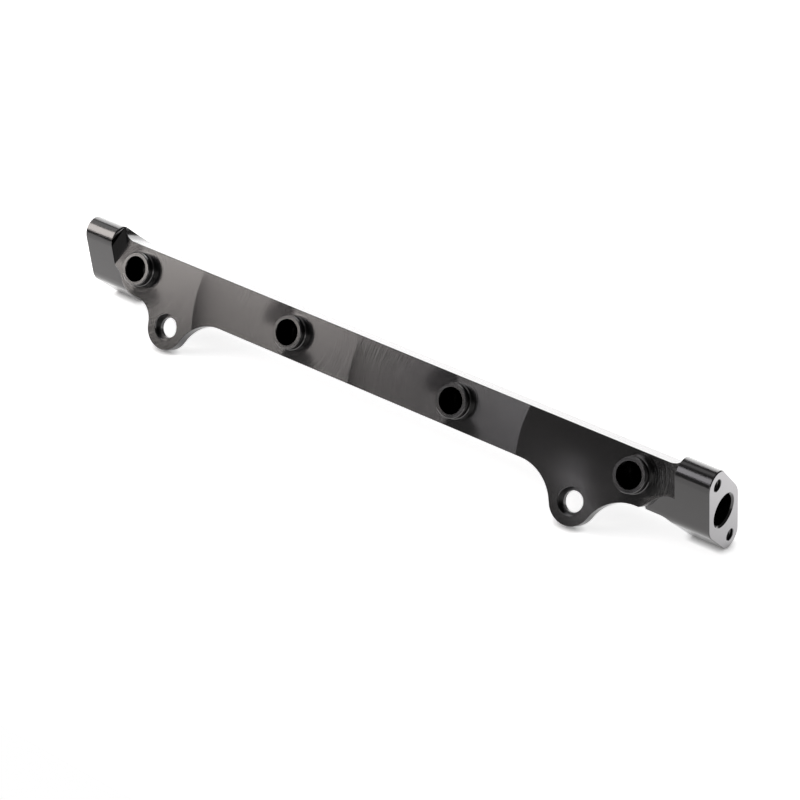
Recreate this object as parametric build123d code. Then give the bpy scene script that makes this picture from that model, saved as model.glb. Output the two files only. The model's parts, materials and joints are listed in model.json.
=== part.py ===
from build123d import *
import os
from math import asin, atan2, cos, degrees, hypot, radians, sin, sqrt, tan

# Fuel rail for a four-cylinder engine, machined from one block of aluminium.
# It is drawn with the injector face in the XZ plane: X runs along the rail, +Y goes into the metal
# and +Z is up the face. The last step leans it back onto its two ears and two end flanges.
# All sizes are in millimetres.

# Injectors
injector_count = 4
injector_pitch = 87.5
cup_bore_radius = 5.5
cup_bore_depth = 12.0
cup_lead_in = 0.6
cup_height = 5.4
cup_rim_radius = 7.5
cup_rim_height = 1.7
cup_groove_radius = 6.7
cup_groove_width = 1.5
cup_collar_radius = 7.8
cup_edge_break = 0.35
feed_hole_radius = 2.5

# Bar between the end flanges
bar_top = 10.15
bar_bottom = -12.5
bar_corner_radius = 7.0

# Injector face
face_bottom = -11.5
face_edge_break = 0.2
land_radius = 12.8
land_sweep_radius = 10.0

# Mounting ears
left_ear_offset = 21.05
right_ear_offset = -23.55
ear_drop = 20.3
ear_radius = 10.1
ear_thickness = 4.6
ear_blend_radius = 20.0
ear_land_blend_radius = 10.0
ear_hole_radius = 4.5
ear_counterbore_radius = 5.95
ear_counterbore_depth = 2.6

# End flanges
left_end_overhang = 31.75
right_end_overhang = 35.35
flange_thickness = 15.8
flange_width = 22.1
flange_tilt = 35.8
flange_start = -2.7
flange_drop = 6.95
flange_bolt_spacing = 34.5
flange_lobe_radius = 6.3
flange_front_slant = 37.0
flange_back_slant = 34.0
flange_corner_radius = 9.0
flange_edge_break = 0.4
bolt_drill_radius = 2.5
bolt_drill_depth = 14.0
bolt_countersink = 0.3

# Fuel gallery
gallery_radius = 6.0
port_radius = 6.9
port_depth = 12.0
port_chamfer = 0.8

# Places worked out from the sizes above
first_cup_x = -injector_pitch * (injector_count - 1) / 2
last_cup_x = -first_cup_x
cup_places = [first_cup_x + injector_pitch * number for number in range(injector_count)]
ear_places = [first_cup_x + left_ear_offset, last_cup_x + right_ear_offset]
left_end = first_cup_x - left_end_overhang
right_end = last_cup_x + right_end_overhang
left_wall = left_end + flange_thickness
right_wall = right_end - flange_thickness
middle_x = (left_end + right_end) / 2
tilt = radians(flange_tilt)
beyond = 2 * flange_bolt_spacing


def flange_point(inward, upward):
    """Turn a place measured from the tilted front of the flange into Y and Z of the rail."""
    y = inward * cos(tilt) - upward * sin(tilt)
    z = flange_start + inward * sin(tilt) + upward * cos(tilt)
    return y, z


# The bolts stand one lobe radius behind the front and one before the back, about the gallery.
bolt_inward = flange_width / 2 - flange_lobe_radius
bolt_upward = sqrt((flange_bolt_spacing / 2) ** 2 - bolt_inward ** 2)
gallery_centre = flange_point(flange_width / 2, -flange_drop)
upper_bolt = flange_point(flange_width / 2 - bolt_inward, -flange_drop + bolt_upward)
lower_bolt = flange_point(flange_width / 2 + bolt_inward, -flange_drop - bolt_upward)
bolt_places = [upper_bolt, lower_bolt]


def half_flange(slant):
    """Half of the flange outline about the gallery: one lobe, its straight side and the slant below."""
    lean = radians(slant)
    side = -flange_width / 2
    lobe = (-bolt_inward, bolt_upward)
    far_lobe = (bolt_inward, -bolt_upward)
    foot = (far_lobe[0] - flange_lobe_radius * cos(lean), far_lobe[1] - flange_lobe_radius * sin(lean))
    corner = (side, foot[1] + (foot[0] - side) / tan(lean))
    half = make_face(Polyline((side, bolt_upward), corner, foot, far_lobe, (0, 0), lobe, close=True))
    sharp = half.vertices().sort_by_distance(corner)[0]
    return fillet(sharp, flange_corner_radius) + Pos(*lobe) * Circle(flange_lobe_radius)


def flange_outline():
    """Two-bolt flange in Y and Z: straight front and back, and a slant between each and the far lobe."""
    outline = half_flange(flange_front_slant) + Rot(Z=180) * half_flange(flange_back_slant)
    return Pos(*gallery_centre) * Rot(Z=flange_tilt) * outline


def along_rail(outline, start, end):
    """Extrude an outline drawn in Y and Z between two places along the rail."""
    return extrude(Plane.YZ.offset(start) * outline, end - start)


def into_rail(outline, depth, start=0.0):
    """Extrude an outline drawn in X and Z from the injector face into the metal."""
    return extrude(Plane.XZ.offset(-start) * outline, -depth)


def between_walls(low, high):
    """Rectangle in X and Z that fills the length between the two flanges."""
    width = right_wall - left_wall
    return Pos((left_wall + right_wall) / 2, (low + high) / 2) * Rectangle(width, high - low)


def round_corners(outline, row):
    """Round the two corners of a clearing that the mill leaves beside the flanges."""
    corners = outline.vertices().group_by(Axis.Y)[row]
    return fillet(corners, bar_corner_radius)


def land_corner(cup_x, outward):
    """Face metal left beside an end cup: a round land that sweeps out to the flange front."""
    pivot_z = flange_start - land_sweep_radius
    pivot_x = cup_x + outward * sqrt((land_radius + land_sweep_radius) ** 2 - pivot_z ** 2)
    share = land_radius / (land_radius + land_sweep_radius)
    touch = (cup_x + (pivot_x - cup_x) * share, pivot_z * share)
    corner = make_face(Polyline((cup_x, 0), (pivot_x, 0), (pivot_x, pivot_z), touch, close=True))
    return corner - Pos(pivot_x, pivot_z) * Circle(land_sweep_radius)


def plate_outline():
    """Lower half of the injector face, with the round lands of the end cups."""
    outline = Pos(0, face_bottom / 2) * Rectangle(last_cup_x - first_cup_x, -face_bottom)
    for cup_x, outward in ((first_cup_x, -1), (last_cup_x, 1)):
        outline += Pos(cup_x, 0) * Circle(land_radius)
        outline += land_corner(cup_x, outward)
    return outline & between_walls(face_bottom, 0)


def underside():
    """Clearing below the bar: flush with the face between the lands, and lower beside the flanges."""
    clearing = round_corners(between_walls(-beyond, bar_bottom), -1)
    face_edge = plate_outline().edges().sort_by(Axis.Y)[0].bounding_box()
    middle = Pos(face_edge.center().X, (face_bottom - beyond) / 2)
    return clearing + middle * Rectangle(face_edge.size.X, face_bottom + beyond)


def blank():
    """The stock with the flange outline from end to end, milled down between the two flanges."""
    body = along_rail(flange_outline(), left_end, right_end)
    sides = body.faces().filter_by(Axis.X)
    body = chamfer(sides.edges(), flange_edge_break)
    body -= into_rail(between_walls(-beyond, beyond), beyond, -beyond)
    above = round_corners(between_walls(bar_top, beyond), 0)
    body -= into_rail(above, beyond)
    lowered = Plane.XZ * Pos(0, -face_edge_break) * above
    body -= extrude(lowered, face_edge_break * sqrt(2), dir=(0, 1, 1))
    return body - into_rail(underside(), beyond)


def blend_to_bar(ear_x, side):
    """Metal between an ear and the bottom of the face, hollowed by a round blend."""
    pivot_z = face_bottom - ear_blend_radius
    spread = sqrt((ear_radius + ear_blend_radius) ** 2 - (pivot_z + ear_drop) ** 2)
    pivot_x = ear_x + side * spread
    share = ear_radius / (ear_radius + ear_blend_radius)
    touch = (ear_x + (pivot_x - ear_x) * share, -ear_drop + (pivot_z + ear_drop) * share)
    corners = [(ear_x, -ear_drop), (ear_x, face_bottom), (pivot_x, face_bottom), (pivot_x, pivot_z)]
    web = make_face(Polyline(*corners, touch, close=True))
    return web - Pos(pivot_x, pivot_z) * Circle(ear_blend_radius)


def blend_to_land(ear_x, cup_x, side):
    """Metal between an ear and the round land of the nearest end cup."""
    ear = (ear_x, -ear_drop)
    length = hypot(ear_x - cup_x, ear_drop)
    land_reach = land_radius + ear_land_blend_radius
    ear_reach = ear_radius + ear_land_blend_radius
    along = (land_reach ** 2 - ear_reach ** 2 + length ** 2) / (2 * length)
    across = sqrt(land_reach ** 2 - along ** 2)
    step = ((ear_x - cup_x) / length, -ear_drop / length)
    pivot = (cup_x + step[0] * along - side * step[1] * across,
             step[1] * along + side * step[0] * across)
    land_touch = (cup_x + (pivot[0] - cup_x) * land_radius / land_reach,
                  pivot[1] * land_radius / land_reach)
    ear_touch = (ear_x + (pivot[0] - ear_x) * ear_radius / ear_reach,
                 -ear_drop + (pivot[1] + ear_drop) * ear_radius / ear_reach)
    web = make_face(Polyline((cup_x, 0), land_touch, pivot, ear_touch, ear, (ear_x, 0), close=True))
    web += Pos(cup_x, 0) * Circle(land_radius) & between_walls(-ear_drop, 0)
    return web - Pos(*pivot) * Circle(ear_land_blend_radius)


def ear_outline():
    """The two ears with their blends into the bar and into the land of the first cup."""
    left_ear, right_ear = ear_places
    outline = blend_to_land(left_ear, first_cup_x, -1)
    outline += blend_to_bar(left_ear, 1)
    outline += blend_to_bar(right_ear, -1)
    outline += blend_to_bar(right_ear, 1)
    for ear_x in ear_places:
        outline += Pos(ear_x, -ear_drop) * Circle(ear_radius)
    return outline


def face_plate():
    """Plate and ears behind the injector face, which share one broken front edge."""
    plate = plate_outline()
    ears = ear_outline()
    plate_depth = (flange_start - face_bottom) * tan(tilt)
    solid = into_rail(plate, plate_depth, face_edge_break)
    solid += into_rail(ears, ear_thickness - face_edge_break, face_edge_break)
    front = Plane.XZ.offset(-face_edge_break) * (plate + ears)
    return solid + extrude(front, face_edge_break, taper=45)


def injector_cup(cup_x):
    """Turned cup on the face: rim, clip groove and collar, revolved about the injector axis."""
    rim_foot = cup_height - cup_rim_height
    groove_foot = rim_foot - cup_groove_width
    profile = [
        (0, -cup_edge_break),
        (cup_collar_radius, -cup_edge_break),
        (cup_collar_radius, groove_foot - cup_edge_break),
        (cup_collar_radius - cup_edge_break, groove_foot),
        (cup_groove_radius, groove_foot),
        (cup_groove_radius, rim_foot),
        (cup_rim_radius, rim_foot),
        (cup_rim_radius, cup_height - cup_edge_break),
        (cup_rim_radius - cup_edge_break, cup_height),
        (0, cup_height),
    ]
    section = make_face(Polyline(*profile, close=True))
    turned = revolve(Plane.XZ * section, Axis.Z)
    return Pos(cup_x, 0, 0) * Rot(X=90) * turned


def stepped_hole(steps, point=0.0):
    """Round hole through a list of radius and depth pairs, with a flat or pointed end."""
    profile = [(0, 0), *steps, (0, steps[-1][1] + point)]
    section = make_face(Polyline(*profile, close=True))
    return revolve(Plane.XZ * section, Axis.Z)


def cup_bore(cup_x):
    """Injector bore with a lead-in at the rim and a feed hole into the gallery."""
    mouth = cup_bore_radius + cup_lead_in / 2
    seat = cup_bore_depth
    steps = [
        (mouth, 0),
        (cup_bore_radius, cup_lead_in),
        (cup_bore_radius, seat),
        (feed_hole_radius, seat + cup_bore_radius - feed_hole_radius),
        (feed_hole_radius, cup_height + gallery_centre[0]),
    ]
    return Pos(cup_x, -cup_height, 0) * Rot(X=-90) * stepped_hole(steps)


def ear_hole(ear_x):
    """Through hole with a flat counterbore that locates the spacer."""
    steps = [
        (ear_counterbore_radius + face_edge_break, 0),
        (ear_counterbore_radius, face_edge_break),
        (ear_counterbore_radius, ear_counterbore_depth),
        (ear_hole_radius, ear_counterbore_depth),
        (ear_hole_radius, 2 * ear_thickness),
    ]
    return Pos(ear_x, 0, -ear_drop) * Rot(X=-90) * stepped_hole(steps)


def end_port(end_x, inward):
    """Port in an end face: chamfered mouth and counterbore."""
    steps = [
        (port_radius + port_chamfer, 0),
        (port_radius, port_chamfer),
        (port_radius, port_depth),
    ]
    return Pos(end_x, *gallery_centre) * Rot(Y=90 * inward) * stepped_hole(steps, port_radius / 2)


def bolt_hole(end_x, inward, place):
    """Drilled and countersunk hole for a flange bolt."""
    steps = [
        (bolt_drill_radius + bolt_countersink, 0),
        (bolt_drill_radius, bolt_countersink),
        (bolt_drill_radius, bolt_drill_depth),
    ]
    return Pos(end_x, *place) * Rot(Y=90 * inward) * stepped_hole(steps, bolt_drill_radius / 2)


def rail_body():
    """The whole rail in the frame of its injector face."""
    body = blank() + face_plate()
    for cup_x in cup_places:
        body += injector_cup(cup_x)
    for cup_x in cup_places:
        body -= cup_bore(cup_x)
    for ear_x in ear_places:
        body -= ear_hole(ear_x)
    gallery = Pos(*gallery_centre) * Circle(gallery_radius)
    body -= along_rail(gallery, left_end + port_depth / 2, right_end - port_depth / 2)
    for end_x, inward in ((left_end, 1), (right_end, -1)):
        body -= end_port(end_x, inward)
        for place in bolt_places:
            body -= bolt_hole(end_x, inward, place)
    return body


def resting_lean():
    """Lean at which the back of the ears and the lower flange lobes touch one floor."""
    forward = lower_bolt[0] - ear_thickness
    upward = -ear_drop - ear_radius - lower_bolt[1]
    return asin(-flange_lobe_radius / hypot(forward, upward)) - atan2(upward, forward)


def at_rest(body):
    """Lean the rail back, stand it on the floor and centre it over the origin."""
    leaned = Rot(X=-degrees(resting_lean())) * body
    box = leaned.bounding_box()
    return Pos(-middle_x, -(box.min.Y + box.max.Y) / 2, -box.min.Z) * leaned


os.makedirs("parts", exist_ok=True)
export_step(at_rest(rail_body()), "parts/rail_body.step")
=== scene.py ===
import json
import math
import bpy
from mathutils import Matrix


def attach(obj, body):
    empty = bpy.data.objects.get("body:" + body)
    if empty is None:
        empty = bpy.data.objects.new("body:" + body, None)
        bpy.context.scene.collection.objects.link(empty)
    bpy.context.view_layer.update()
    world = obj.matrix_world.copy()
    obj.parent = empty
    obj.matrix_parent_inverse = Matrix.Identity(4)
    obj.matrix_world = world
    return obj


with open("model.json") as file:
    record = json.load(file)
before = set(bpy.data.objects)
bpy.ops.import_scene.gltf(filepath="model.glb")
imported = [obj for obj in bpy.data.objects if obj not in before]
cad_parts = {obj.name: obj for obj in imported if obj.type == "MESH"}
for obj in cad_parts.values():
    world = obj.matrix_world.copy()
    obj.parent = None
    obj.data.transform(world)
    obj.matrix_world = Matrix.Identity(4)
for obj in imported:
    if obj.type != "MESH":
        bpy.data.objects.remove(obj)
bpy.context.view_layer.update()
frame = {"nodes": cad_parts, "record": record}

from types import SimpleNamespace

import bmesh
import bpy
from mathutils import Matrix, Vector

# Rail body: one billet of aluminium, its cups, ears and flanges milled from the solid, then
# anodised black. The mill went over the face in four passes, each centred on a cup, and left
# round marks there. Elsewhere the marks run along the rail. The two ends are painted a lighter
# grey, a painted reflection of the bright floor that they mirror.
MM = 0.001
mounts = {mount["name"]: mount for mount in frame["record"]["mounts"]}
injectors = [mounts[name] for name in sorted(mounts) if name.startswith("injector_")]
out_of_face = Vector(injectors[0]["axis"])
along_rail = Vector((1, 0, 0))
up_face = along_rail.cross(-out_of_face)
cup_height = 5.4 * MM
bore_lead_in = 0.6 * MM
bore_radius = injectors[0]["dims"]["r_mm"] * MM
bore_foot = 10.5 * MM
face_half = 11 * MM
flange_thickness = 15.8 * MM
rail_end = mounts["right_bolts"]["pos_m"][0]


def cup_centre(mount):
    """Place where the injector's axis meets the milled face."""
    behind_rim = bore_lead_in + mount["dims"]["length_mm"] * MM / 2
    return Vector(mount["pos_m"]) + out_of_face * (behind_rim - cup_height)


def linear(colour):
    """Turn an sRGB hex colour into the linear one that a shader works with."""
    parts = [int(colour[place:place + 2], 16) / 255 for place in (1, 3, 5)]
    return [part / 12.92 if part <= 0.04045 else ((part + 0.055) / 1.055) ** 2.4 for part in parts] + [1]


def add_node(tree, kind, settings=None, **inputs):
    """Add a node of a kind, which is its type's name after ShaderNode, and return it.

    An input is given by its name, or by its number as in i0. Its value is a number, a colour,
    a socket, or a node, whose first output in use then feeds it. A Mix node's two values are
    i2 and i3 for numbers, i4 and i5 for vectors, and i6 and i7 for colours.
    """
    node = tree.nodes.new("ShaderNode" + kind)
    for name, value in (settings or {}).items():
        setattr(node, name, value)
    for name, value in inputs.items():
        socket = node.inputs[int(name[1:]) if name[1:].isdigit() else name.replace("_", " ")]
        if isinstance(value, bpy.types.Node):
            value = next(output for output in value.outputs if output.enabled)
        if isinstance(value, bpy.types.NodeSocket):
            tree.links.new(value, socket)
        else:
            socket.default_value = value
    return node


def new_material(name):
    """An empty material and its node tree."""
    material = bpy.data.materials.new(name)
    material.use_nodes = True
    material.node_tree.nodes.clear()
    return material, material.node_tree


# The four passes of the mill, from left to right, as the photo's lighter and darker patches show
# them. All the leans turn the shading alone, and are set to give the photo's tones under the
# lamps below. A lean of 0.01 is about half a degree, and real ones would be far smaller.
pass_reach = 55 * MM
pass_leans = (0.024, 0.034, 0.046, -0.06)
leans_up_face = (-0.003, -0.003, -0.002, -0.06)
leans_along_rail = (0.0, 0.02, 0.008, 0.0)
wedge_shares = (0.4, 0.75, 1.25, 0.5)
ring_shares = (1.0, 1.0, 1.0, 11.0)
swell_leans = (0.0, 0.0, 0.0, 0.055)
passes = list(zip(
    [tuple(cup_centre(mount)) for mount in injectors],
    zip(pass_leans, leans_up_face, leans_along_rail),
    zip(wedge_shares, ring_shares, swell_leans),
))


def milling_pass(tree, place):
    """Find the pass that cut a point last: its cup's centre, its three leans and its three marks.

    Each pass goes over the one before it, as far as the cutter reaches from its own cup.
    """
    cut_last = passes[0]
    for centre, leans, marks in passes[1:]:
        apart = add_node(tree, "VectorMath", {"operation": "DISTANCE"}, i0=place, i1=centre)
        reached = add_node(tree, "Math", {"operation": "LESS_THAN"}, i0=apart, i1=pass_reach)
        cut_last = [
            add_node(tree, "Mix", {"data_type": "VECTOR"}, Factor=reached, i4=before, i5=after)
            for before, after in zip(cut_last, (centre, leans, marks))
        ]
    return cut_last


def seen_from_cup(tree, place, centre):
    """Measure where a point lies from the cup of its pass.

    The height is 1 at the face's upper edge and -1 at its lower one, and the way along the rail
    is in reaches of the cutter.
    """
    dot = {"operation": "DOT_PRODUCT"}
    radial = add_node(tree, "VectorMath", {"operation": "SUBTRACT"}, i0=place, i1=centre)
    return SimpleNamespace(
        radial=radial,
        radius=add_node(tree, "VectorMath", {"operation": "LENGTH"}, i0=radial),
        compass=add_node(tree, "VectorMath", {"operation": "NORMALIZE"}, i0=radial),
        height=add_node(tree, "VectorMath", dot, i0=radial, i1=tuple(up_face / face_half)),
        along=add_node(tree, "VectorMath", dot, i0=radial, i1=tuple(along_rail / pass_reach)),
        above_face=add_node(tree, "VectorMath", dot, i0=radial, i1=tuple(out_of_face)),
    )


def spindle_lean(tree, spot, leans):
    """Lean of a whole pass, with a part that grows up the face and a part that grows along the rail."""
    lean, up_share, along_share = add_node(tree, "SeparateXYZ", i0=leans).outputs
    on_bar = add_node(tree, "Clamp", Value=spot.height, Min=-1.0, Max=1.0)
    lean = add_node(tree, "Math", {"operation": "MULTIPLY_ADD"}, i0=on_bar, i1=up_share, i2=lean)
    return add_node(tree, "Math", {"operation": "MULTIPLY_ADD"}, i0=spot.along, i1=along_share, i2=lean)


edge_drop = 0.075
edge_sharpness = 10.0
edge_from_height = 0.9
edge_to_height = -1.0


def pass_edge(tree, spot, lean):
    """Take lean away towards the outer edge of a pass, and more of it lower on the face."""
    share = add_node(tree, "Math", {"operation": "DIVIDE"}, i0=spot.radius, i1=pass_reach)
    near_edge = add_node(tree, "Math", {"operation": "POWER"}, i0=share, i1=edge_sharpness)
    low = add_node(tree, "MapRange", Value=spot.height, From_Min=edge_from_height, From_Max=edge_to_height)
    drop = add_node(tree, "Math", {"operation": "MULTIPLY"}, i0=near_edge, i1=low)
    return add_node(tree, "Math", {"operation": "MULTIPLY_ADD"}, i0=drop, i1=-edge_drop, i2=lean)


# Each wedge has its direction from the cup, as an angle up from the rail's, and the lean that it
# takes away. It fades out between two cosines of the angle off that direction.
wedge_cuts = ((math.radians(-67), 0.09), (math.radians(145), 0.055))
wedge_side = 0.72
wedge_middle = 0.92
wedge_starts_to_fade = 12 * MM
wedge_ends = 21 * MM
smooth = {"interpolation_type": "SMOOTHSTEP"}


def cup_wedges(tree, spot, lean, wedge_share):
    """Take lean away in two dark wedges beside each cup, where the cutter turned in."""
    depth = 0.0
    for turned_to, cut_drop in wedge_cuts:
        wedge_line = along_rail * math.cos(turned_to) + up_face * math.sin(turned_to)
        in_line = add_node(tree, "VectorMath", {"operation": "DOT_PRODUCT"},
                           i0=spot.compass, i1=tuple(wedge_line))
        cut = add_node(tree, "MapRange", smooth, Value=in_line,
                       From_Min=wedge_side, From_Max=wedge_middle, To_Min=0.0, To_Max=cut_drop)
        depth = add_node(tree, "Math", {"operation": "MAXIMUM"}, i0=cut, i1=depth)
    fading = add_node(tree, "MapRange", smooth, Value=spot.radius,
                      From_Min=wedge_starts_to_fade, From_Max=wedge_ends, To_Min=-1.0, To_Max=0.0)
    fading = add_node(tree, "Math", {"operation": "MULTIPLY"}, i0=fading, i1=wedge_share)
    return add_node(tree, "Math", {"operation": "MULTIPLY_ADD"}, i0=depth, i1=fading, i2=lean)


swell_rises = (14 * MM, 26 * MM)
swell_falls = (28 * MM, 44 * MM)
swell_from_height = 0.5
swell_to_height = -0.4


def low_swell(tree, spot, lean, swell_lean):
    """Add lean in a broad ring about the cup, low on the face, where it catches the light."""
    rising = add_node(tree, "MapRange", smooth, Value=spot.radius,
                      From_Min=swell_rises[0], From_Max=swell_rises[1])
    falling = add_node(tree, "MapRange", smooth, Value=spot.radius,
                       From_Min=swell_falls[0], From_Max=swell_falls[1], To_Min=1.0, To_Max=0.0)
    swelling = add_node(tree, "Math", {"operation": "MULTIPLY"}, i0=rising, i1=falling)
    low = add_node(tree, "MapRange", smooth, Value=spot.height,
                   From_Min=swell_from_height, From_Max=swell_to_height)
    swelling = add_node(tree, "Math", {"operation": "MULTIPLY"}, i0=swelling, i1=low)
    return add_node(tree, "Math", {"operation": "MULTIPLY_ADD"}, i0=swelling, i1=swell_lean, i2=lean)


# Real tool marks are a few hundredths of a millimetre apart. They are drawn coarser to show.
# To the right of the cup the rings grow deeper, between two shares of the cutter's reach.
ring_spacing = 1.6 * MM
arc_breaks = 0.6
streak_length = 16 * MM
streak_width = 0.7 * MM
mark_depth = 0.04 * MM
deepening_starts = 0.08
deepening_ends = 0.2


def tool_marks(tree, place, spot, on_face, ring_share):
    """Height of the tool marks: rings about the cup on the face, streaks along the rail elsewhere."""
    ring_number = add_node(tree, "Math", {"operation": "DIVIDE"}, i0=spot.radius, i1=ring_spacing)
    ring_place = add_node(tree, "VectorMath", {"operation": "SCALE"},
                          i0=tuple(out_of_face), Scale=ring_number)
    ring_place = add_node(tree, "VectorMath", {"operation": "MULTIPLY_ADD"},
                          i0=spot.compass, i1=(arc_breaks,) * 3, i2=ring_place)
    rings = add_node(tree, "TexNoise", Vector=ring_place, Scale=1.0, Detail=4.0, Roughness=0.75)
    deepening = add_node(tree, "MapRange", Value=spot.along,
                         From_Min=deepening_starts, From_Max=deepening_ends, To_Min=1.0, To_Max=ring_share)
    rings = add_node(tree, "Math", {"operation": "MULTIPLY"}, i0=rings, i1=deepening)
    drawn = add_node(tree, "Mapping", Vector=place,
                     Scale=(1 / streak_length, 1 / streak_width, 1 / streak_width))
    streaks = add_node(tree, "TexNoise", Vector=drawn, Scale=1.0, Detail=3.0, Roughness=0.6)
    return add_node(tree, "Mix", {"data_type": "FLOAT"}, Factor=on_face, i2=streaks, i3=rings)


# A surface counts as parallel to the face above this cosine of the angle between them, and a
# point counts as on the end or on a bore's wall within the skin's depth of it.
parallel_cosine = 0.98
skin_depth = 0.05 * MM
rim_lean = 0.03
anodised_black = "#545353"
# The ends' light grey is a painted reflection of the bright floor that they mirror.
painted_end_reflection_grey = "#959395"
# The bores' near black is painted shade.
bore_painted_shade = "#161616"
streaked_roughness = 0.2
ringed_roughness = 0.24


def milled_black_anodise():
    """Black anodised aluminium, milled before it was dyed.

    The thin film keeps the metal's own gloss and turns it a dark, slightly warm grey. The gloss
    is drawn out along the rings of the face, and across the streaks elsewhere.
    """
    material, tree = new_material("milled_black_anodised_aluminium")
    place = add_node(tree, "TexCoord").outputs["Object"]
    normal = add_node(tree, "NewGeometry").outputs["Normal"]
    centre, leans, marks = milling_pass(tree, place)
    spot = seen_from_cup(tree, place, centre)
    wedge_share, ring_share, swell_lean = add_node(tree, "SeparateXYZ", i0=marks).outputs

    # Rings go on the face and all that is parallel to it between the flanges.
    facing = add_node(tree, "VectorMath", {"operation": "DOT_PRODUCT"}, i0=normal, i1=tuple(out_of_face))
    parallel = add_node(tree, "Math", {"operation": "GREATER_THAN"}, i0=facing, i1=parallel_cosine)
    sideways = add_node(tree, "SeparateXYZ", i0=place).outputs["X"]
    from_middle = add_node(tree, "Math", {"operation": "ABSOLUTE"}, i0=sideways)
    between_flanges = add_node(tree, "Math", {"operation": "LESS_THAN"},
                               i0=from_middle, i1=rail_end - flange_thickness)
    on_face = add_node(tree, "Math", {"operation": "MULTIPLY"}, i0=parallel, i1=between_flanges)
    on_end = add_node(tree, "Math", {"operation": "GREATER_THAN"}, i0=from_middle, i1=rail_end - skin_depth)
    across = add_node(tree, "VectorMath", {"operation": "CROSS_PRODUCT"}, i0=normal, i1=tuple(along_rail))
    around = add_node(tree, "VectorMath", {"operation": "CROSS_PRODUCT"}, i0=normal, i1=spot.radial)
    tangent = add_node(tree, "Mix", {"data_type": "VECTOR"}, Factor=on_face, i4=across, i5=around)
    tangent = add_node(tree, "Mix", {"data_type": "VECTOR"}, Factor=on_end, i4=tangent, i5=tuple(up_face))

    # The cups' rims were turned later with another tool, so they have a lean of their own.
    lean = spindle_lean(tree, spot, leans)
    lean = pass_edge(tree, spot, lean)
    lean = cup_wedges(tree, spot, lean, wedge_share)
    lean = low_swell(tree, spot, lean, swell_lean)
    on_rim = add_node(tree, "Math", {"operation": "GREATER_THAN"}, i0=spot.above_face, i1=cup_height / 2)
    lean = add_node(tree, "Mix", {"data_type": "FLOAT"}, Factor=on_rim, i2=lean, i3=rim_lean)
    turned = add_node(tree, "VectorMath", {"operation": "SCALE"}, i0=tuple(up_face), Scale=lean)
    turned = add_node(tree, "VectorMath", {"operation": "SCALE"}, i0=turned, Scale=on_face)
    turned = add_node(tree, "VectorMath", {"operation": "ADD"}, i0=turned, i1=normal)
    turned = add_node(tree, "VectorMath", {"operation": "NORMALIZE"}, i0=turned)
    height = tool_marks(tree, place, spot, on_face, ring_share)
    relief = add_node(tree, "Bump", Strength=1.0, Distance=mark_depth, Height=height, Normal=turned)

    # The fly-cut ends are painted a satin grey, a painted reflection of the bright floor that they
    # mirror, and the bores are painted near black, a painted shade.
    off_axis = add_node(tree, "VectorMath", {"operation": "CROSS_PRODUCT"},
                        i0=spot.radial, i1=tuple(out_of_face))
    off_axis = add_node(tree, "VectorMath", {"operation": "LENGTH"}, i0=off_axis)
    in_line = add_node(tree, "Math", {"operation": "LESS_THAN"}, i0=off_axis, i1=bore_radius + skin_depth)
    above_foot = add_node(tree, "Math", {"operation": "GREATER_THAN"}, i0=spot.above_face, i1=-bore_foot)
    in_bore = add_node(tree, "Math", {"operation": "MULTIPLY"}, i0=in_line, i1=above_foot)
    colour = add_node(tree, "Mix", {"data_type": "RGBA"},
                      Factor=on_end, i6=linear(anodised_black), i7=linear(painted_end_reflection_grey))
    colour = add_node(tree, "Mix", {"data_type": "RGBA"}, Factor=in_bore, i6=colour, i7=linear(bore_painted_shade))
    roughness = add_node(tree, "Mix", {"data_type": "FLOAT"},
                         Factor=on_face, i2=streaked_roughness, i3=ringed_roughness)
    shader = add_node(
        tree, "BsdfPrincipled",
        Base_Color=colour, Metallic=1.0, Roughness=roughness,
        Anisotropic=0.4, Tangent=tangent, Normal=relief,
        Coat_Weight=0.5, Coat_Roughness=0.12, Coat_IOR=1.6, Coat_Normal=relief,
    )
    add_node(tree, "OutputMaterial", Surface=shader)
    return material


rail = frame["nodes"]["rail_body"]
rail.data.materials.clear()
rail.data.materials.append(milled_black_anodise())

# Bolt threads: each flange bolt hole is tapped. The thread is one long ridge of the rail's own
# metal that winds down the drilled hole, anodised with the rest.
thread_pitch = 1.0 * MM
thread_depth = 12 * MM
thread_start = 0.6 * MM
drill_radius = 2.5 * MM
thread_sink = 0.04 * MM
thread_height = 0.36 * MM
thread_root = drill_radius + thread_sink
thread_crest = drill_radius - thread_height
steps_a_turn = 24
doubles_apart = 0.001 * MM
bolt_line_lean = math.radians(25.55)

# Each corner of the ridge's section has its distance from the hole's axis, and its way down the
# hole in pitches.
ridge_corners = ((thread_root, 0.0), (thread_root, 0.8), (thread_crest, 0.5), (thread_crest, 0.3))


def bolt_thread(name, pattern, side):
    """One tapped thread, wound into the metal from just behind the end face."""
    outward = Vector(pattern["axis"])
    bolt_line = Vector((0, -math.sin(bolt_line_lean), math.cos(bolt_line_lean)))
    centre = Vector(pattern["pos_m"]) + bolt_line * side * pattern["dims"]["pcd_mm"] * MM / 2
    foot = centre - outward * thread_start
    ridge = bmesh.new()
    verts = [
        ridge.verts.new(foot + bolt_line * reach - outward * thread_pitch * down)
        for reach, down in ridge_corners
    ]
    section = ridge.faces.new(verts)
    turns = round(thread_depth / thread_pitch)
    bmesh.ops.spin(
        ridge, geom=[section], cent=centre, axis=outward, dvec=-outward * thread_pitch / steps_a_turn,
        angle=math.tau * turns, steps=steps_a_turn * turns,
    )
    bmesh.ops.remove_doubles(ridge, verts=ridge.verts, dist=doubles_apart)
    bmesh.ops.recalc_face_normals(ridge, faces=ridge.faces)
    mesh = bpy.data.meshes.new(name)
    ridge.to_mesh(mesh)
    ridge.free()
    thread = bpy.data.objects.new(name, mesh)
    thread.data.materials.append(rail.data.materials[0])
    bpy.context.scene.collection.objects.link(thread)
    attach(thread, "root")


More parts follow.
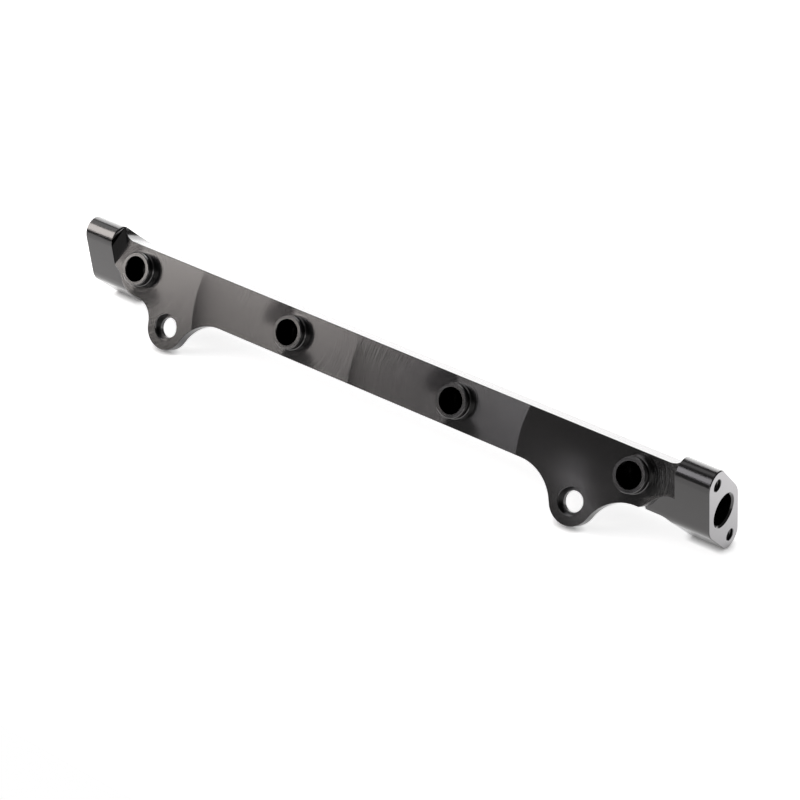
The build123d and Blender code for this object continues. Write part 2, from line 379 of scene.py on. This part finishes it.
for end_name in ("left", "right"):
    for side_name, side in (("upper", 1), ("lower", -1)):
        bolt_thread(end_name + "_" + side_name + "_bolt_thread", mounts[end_name + "_bolts"], side)

# Floor: a sheet of white acrylic, which ends a quarter of a metre in front of the rail and runs
# three metres behind it. It glows for the camera and in the rail's gloss, which is painted light,
# and glows less where the rail is close above it, which is a painted shadow where the rail touches
# it. So it looks white and keeps that shadow.
floor_front = -0.25
floor_back = 3.0
floor_side = 3.0
acrylic_white = "#F4F4F4"
glow_by_rail = 0.76
glow_far_away = 1.0
glow_grows = (0.4, 1.2)
mirrored_in_front = 0.3
mirrored_behind = 1.2
mirrored_grows = (-0.08, 0.12)
shade_reach = 0.003


def white_acrylic():
    """White acrylic sheet, matt on top, and glowing with painted light.

    Its glow for the camera grows with the distance from the rail. What the rail's gloss mirrors
    grows from the front to the back, a painted light behind the rail. Close under the rail both
    glows are dimmed, a painted shadow.
    """
    material, tree = new_material("white_acrylic_table")
    place = add_node(tree, "TexCoord").outputs["Object"]
    # The occlusion dims the glow close under the rail: a painted shadow.
    painted_contact_shadow = add_node(tree, "AmbientOcclusion", {"samples": 4}, Distance=shade_reach).outputs["AO"]
    path = add_node(tree, "LightPath")
    depth = add_node(tree, "SeparateXYZ", i0=place).outputs["Y"]
    mirrored = add_node(tree, "MapRange", smooth, Value=depth,
                        From_Min=mirrored_grows[0], From_Max=mirrored_grows[1],
                        To_Min=mirrored_in_front, To_Max=mirrored_behind)
    mirrored = add_node(tree, "Math", {"operation": "MULTIPLY"}, i0=mirrored, i1=painted_contact_shadow)
    mirrored = add_node(tree, "Math", {"operation": "MULTIPLY"},
                        i0=path.outputs["Is Glossy Ray"], i1=mirrored)
    away = add_node(tree, "VectorMath", {"operation": "LENGTH"}, i0=place)
    seen = add_node(tree, "MapRange", Value=away, From_Min=glow_grows[0], From_Max=glow_grows[1],
                    To_Min=glow_by_rail, To_Max=glow_far_away)
    seen = add_node(tree, "Math", {"operation": "MULTIPLY"}, i0=painted_contact_shadow, i1=seen)
    glow = add_node(tree, "Math", {"operation": "MULTIPLY_ADD"},
                    i0=path.outputs["Is Camera Ray"], i1=seen, i2=mirrored)
    sheet = add_node(tree, "BsdfDiffuse", Color=linear(acrylic_white))
    lit = add_node(tree, "Emission", Color=(1, 1, 1, 1), Strength=glow)
    both = add_node(tree, "AddShader", i0=sheet, i1=lit)
    add_node(tree, "OutputMaterial", Surface=both)
    return material


floor_mesh = bmesh.new()
bmesh.ops.create_grid(floor_mesh, x_segments=1, y_segments=1, size=1)
bmesh.ops.scale(floor_mesh, verts=floor_mesh.verts, vec=(floor_side, (floor_back - floor_front) / 2, 1))
bmesh.ops.translate(floor_mesh, verts=floor_mesh.verts, vec=(0, (floor_back + floor_front) / 2, 0))
floor_data = bpy.data.meshes.new("floor")
floor_mesh.to_mesh(floor_data)
floor_mesh.free()
floor = bpy.data.objects.new("floor", floor_data)
floor.data.materials.append(white_acrylic())
bpy.context.scene.collection.objects.link(floor)

# Studio: a dark room that the camera sees as white, with six soft boxes. Two tilted ones stand in
# front and to the left, and a large one low behind, which light the face and the top. Weak ones on
# the left, low in front on the right, and overhead lift what those three leave nearly black.
room_level = 0.08
world = bpy.data.worlds.new("studio")
world.use_nodes = True
world.node_tree.nodes.clear()
seen_by_camera = add_node(world.node_tree, "LightPath").outputs["Is Camera Ray"]
room = add_node(world.node_tree, "Math", {"operation": "MAXIMUM"}, i0=seen_by_camera, i1=room_level)
sky = add_node(world.node_tree, "Background", Color=(1, 1, 1, 1), Strength=room)
add_node(world.node_tree, "OutputWorld", Surface=sky)
bpy.context.scene.world = world


def soft_box(name, azimuth, elevation, distance, width, height, level, roll=0.0, tint="#FFFFFF"):
    """A rectangular lamp that faces the rail. Azimuth 0 is in front and 90 on the left."""
    side, rise = math.radians(azimuth), math.radians(elevation)
    away = Vector((-math.sin(side) * math.cos(rise), -math.cos(side) * math.cos(rise), math.sin(rise)))
    turn = away.to_track_quat("Z", "Y").to_matrix() @ Matrix.Rotation(math.radians(roll), 3, "Z")
    lamp = bpy.data.lights.new(name, "AREA")
    lamp.shape = "RECTANGLE"
    lamp.size = width
    lamp.size_y = height
    lamp.energy = math.pi * width * height * level
    lamp.color = linear(tint)[:3]
    box = bpy.data.objects.new(name, lamp)
    box.rotation_euler = turn.to_euler()
    box.location = away * distance
    box.visible_camera = False
    bpy.context.scene.collection.objects.link(box)


soft_box("front_soft_box", 51.7, 32.6, 1.2, 0.38, 0.85, 4.9, roll=27, tint="#FFFAF6")
soft_box("front_fill_box", 25, 39, 1.2, 0.34, 0.75, 2.1, roll=18, tint="#FBFAFF")
soft_box("left_fill_box", 95, 46, 1.2, 0.5, 0.36, 0.85)
soft_box("back_soft_box", 150, 20, 1.6, 1.7, 1.3, 2.6)
soft_box("low_front_box", -34, 18, 1.2, 1.1, 0.5, 1.2)
soft_box("top_box", 180, 82, 1.2, 1.4, 0.5, 0.5)

# Camera: a long lens from above, in front and to the right of the rail, rolled a little. The
# target is the point of the rail's frame at the middle of the picture.
camera_target = Vector((8.4, 0, 13.7)) * MM
camera_azimuth = math.radians(36.36)
camera_elevation = math.radians(31.82)
camera_roll = math.radians(1.73)
camera_distance = 1086.2 * MM
film_width_mm = 36
focal_length_mm = 114.8
camera_data = bpy.data.cameras.new("camera")
camera_data.sensor_width = film_width_mm
camera_data.lens = focal_length_mm
camera = bpy.data.objects.new("camera", camera_data)
to_camera = Vector((math.sin(camera_azimuth) * math.cos(camera_elevation),
                    -math.cos(camera_azimuth) * math.cos(camera_elevation),
                    math.sin(camera_elevation)))
camera_turn = to_camera.to_track_quat("Z", "Y").to_matrix() @ Matrix.Rotation(camera_roll, 3, "Z")
camera.location = camera_target + to_camera * camera_distance
camera.rotation_euler = camera_turn.to_euler()
bpy.context.scene.collection.objects.link(camera)
bpy.context.scene.camera = camera
bpy.context.scene.view_settings.view_transform = "Standard"
